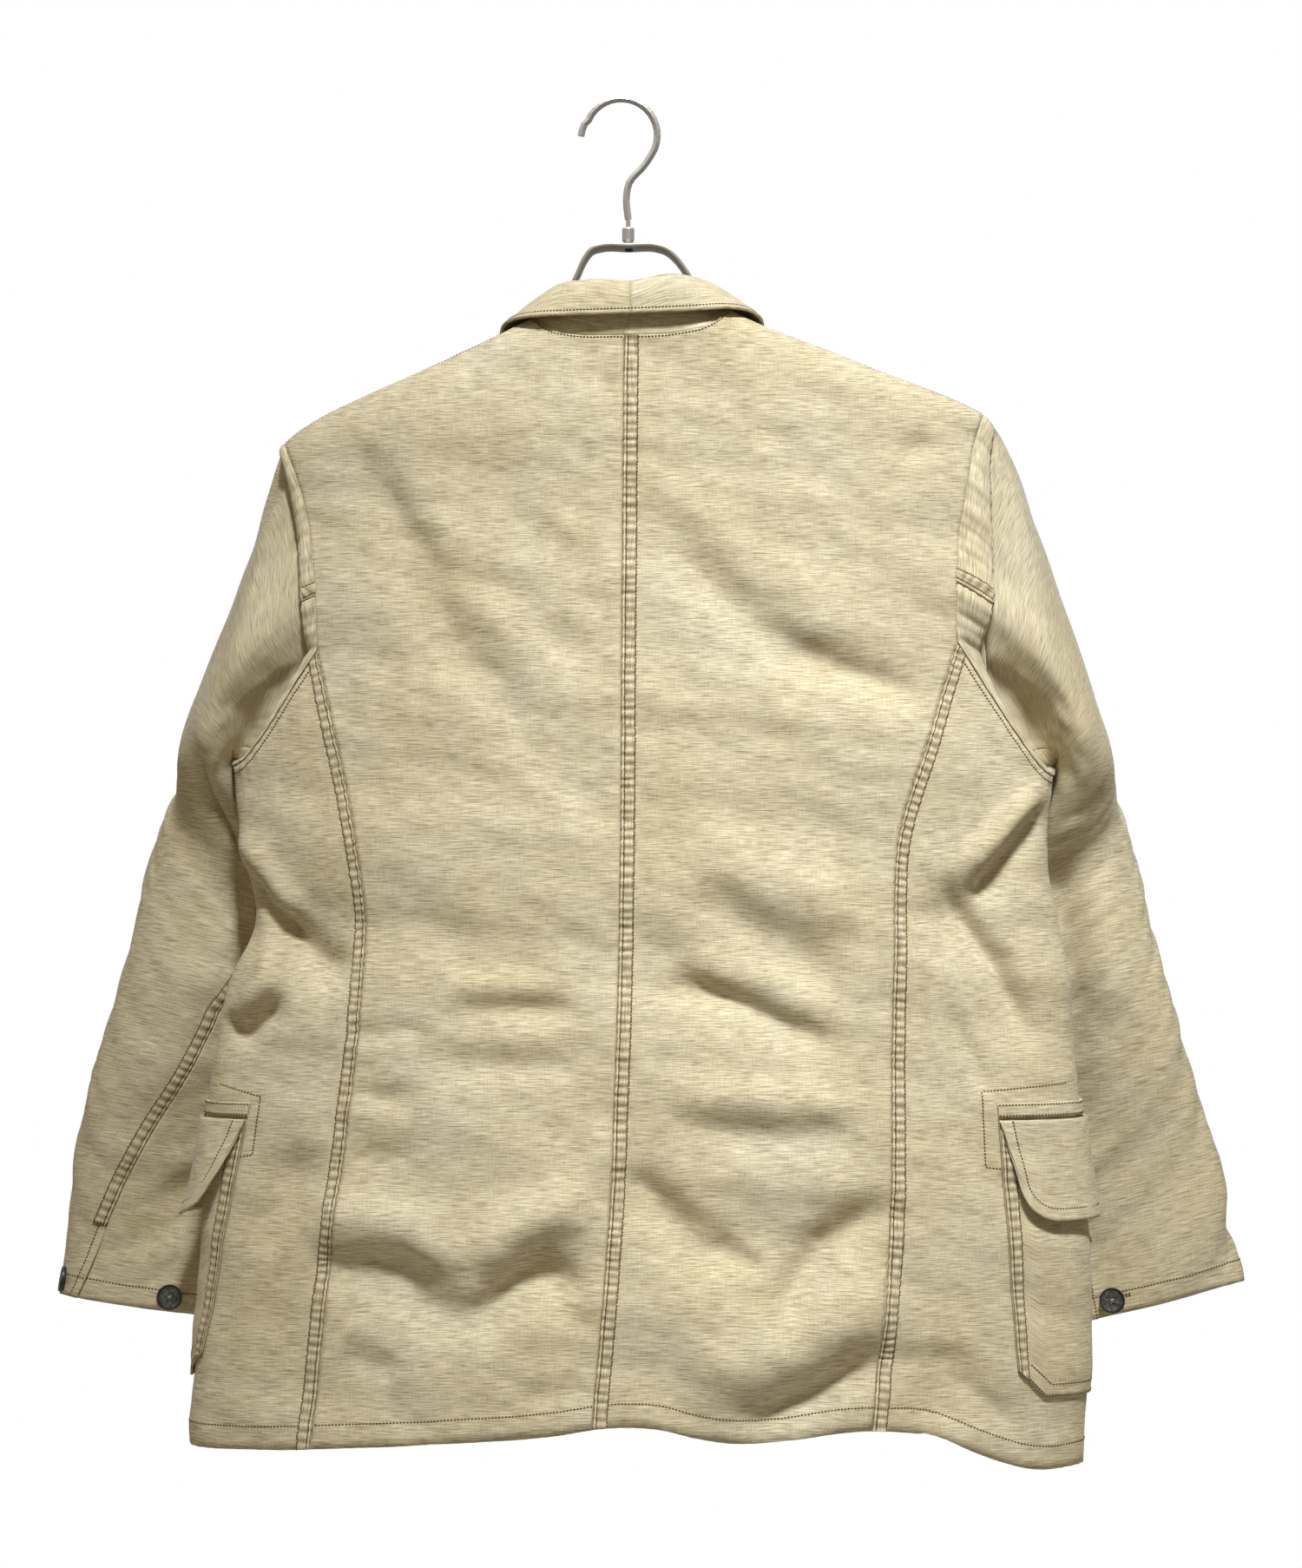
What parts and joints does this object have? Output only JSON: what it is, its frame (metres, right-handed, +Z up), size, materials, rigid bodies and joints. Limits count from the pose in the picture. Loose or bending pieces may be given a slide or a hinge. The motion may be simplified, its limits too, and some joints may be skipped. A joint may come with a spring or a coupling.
{
  "type": "coverall jacket on a hanger",
  "caption": "Long-sleeved cotton coverall jacket with shawl collar, princess seams and flapped side pockets, hung on a metal hanger.",
  "frame": {"origin": "inside top of the hanger's hook, where it rests on a rail", "axes": "+Z up, +Y the way the wearer would face, so the back faces -Y, and +X to the wearer's right"},
  "size_m": [0.8642, 0.1827, 0.9742],
  "materials": {
    "cotton": "matte slubby plain weave",
    "button": "dark grey, softly marbled",
    "hanger_metal": "satin nickel"
  },
  "bodies": {
    "root": {"back_left": "cotton", "back_right": "cotton", "front_left": "cotton", "front_right": "cotton", "collar_left": "cotton", "collar_right": "cotton", "pocket_left": "cotton", "pocket_right": "cotton", "pocket_welt_left": "cotton", "pocket_welt_right": "cotton", "pocket_flap_left": "cotton", "pocket_flap_right": "cotton", "upper_sleeve_left": "cotton", "upper_sleeve_right": "cotton", "under_sleeve_left": "cotton", "under_sleeve_right": "cotton", "cuff_button_left_1": "button", "cuff_button_left_2": "button", "cuff_button_right_1": "button", "cuff_button_right_2": "button", "front_button_1": "button", "front_button_2": "button", "front_button_3": "button", "hanger_hook": "hanger_metal", "hanger_ferrule": "hanger_metal", "hanger_frame": "hanger_metal"}
  },
  "joints": []
}
